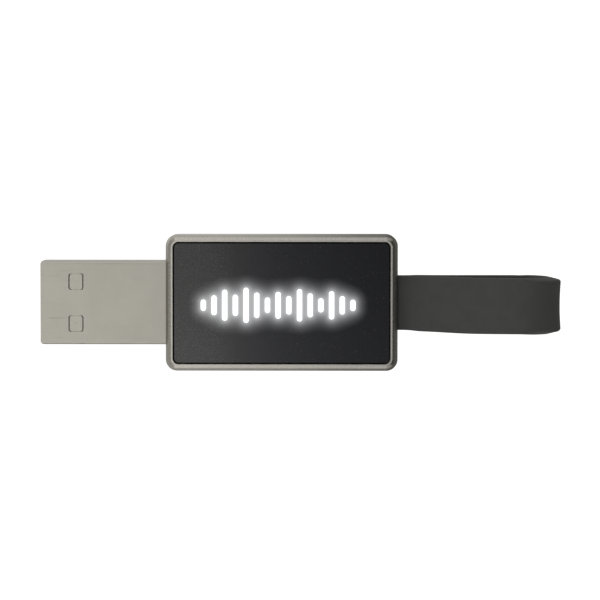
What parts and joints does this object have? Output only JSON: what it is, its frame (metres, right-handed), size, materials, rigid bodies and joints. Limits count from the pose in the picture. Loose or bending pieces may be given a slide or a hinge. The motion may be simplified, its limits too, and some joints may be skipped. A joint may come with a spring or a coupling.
{
  "type": "usb flash drive",
  "caption": "Stick-shaped USB flash drive: satin metal frame round glossy black panels, a back-lit bar motif, a Type-A plug at one end and a silicone strap loop at the other.",
  "frame": {"origin": "centre of the back panel's outer face, on which the drive lies", "axes": "+X from the plug towards the strap, +Y across the housing, +Z out of the lit front panel"},
  "size_m": [0.0741, 0.0194, 0.0099],
  "materials": {
    "satin_metal": "satin nickel plating, finely bead-blasted, on a die-cast frame",
    "plug_steel": "satin nickel-plated pressed steel with faint insertion scuffs",
    "gloss_black": "polished black acrylic",
    "milky_acrylic": "milky translucent acrylic, lit from behind",
    "diffuser_film": "frosted white film",
    "adhesive_tape": "black double-sided foam tape",
    "carrier_plastic": "moulded black ABS",
    "tongue_plastic": "moulded light grey insulator",
    "contact_gold": "gold-flashed spring bronze",
    "solder_mask": "green solder mask on fibreglass",
    "chip_epoxy": "moulded black epoxy",
    "crystal_can": "tinned metal lid",
    "led_body": "white light-emitting diode with pale phosphor",
    "resistor_ceramic": "black-coated ceramic chip",
    "capacitor_ceramic": "tan ceramic chip",
    "pin_steel": "plain steel dowel",
    "black_silicone": "matte black silicone"
  },
  "bodies": {
    "housing": {"metal_frame": "satin_metal", "back_panel": "gloss_black", "back_adhesive": "adhesive_tape", "front_adhesive": "adhesive_tape", "front_panel": "gloss_black", "light_inlay": "milky_acrylic", "diffuser_film": "diffuser_film", "carrier_lower": "carrier_plastic", "carrier_upper": "carrier_plastic", "strap_pin": "pin_steel", "plug_shell": "plug_steel", "plug_tongue": "tongue_plastic", "contact_vbus": "contact_gold", "contact_data_minus": "contact_gold", "contact_data_plus": "contact_gold", "contact_ground": "contact_gold", "circuit_board": "solder_mask", "controller_chip": "chip_epoxy", "flash_chip": "chip_epoxy", "crystal": "crystal_can", "led_1": "led_body", "led_2": "led_body", "led_3": "led_body", "led_resistor_1": "resistor_ceramic", "led_resistor_2": "resistor_ceramic", "led_resistor_3": "resistor_ceramic", "capacitor_1": "capacitor_ceramic", "capacitor_2": "capacitor_ceramic", "capacitor_3": "capacitor_ceramic", "capacitor_4": "capacitor_ceramic", "strap_root": "black_silicone"},
    "strap": {"strap_loop": "black_silicone"}
  },
  "joints": [
    {"name": "strap_flex", "type": "hinge", "parent": "housing", "child": "strap", "pos_m": [0.01885, 0, 0.0035], "axis": [0, 1, 0], "range_deg": [-60, 60], "stiffness_Nm_per_rad": 0.005}
  ]
}
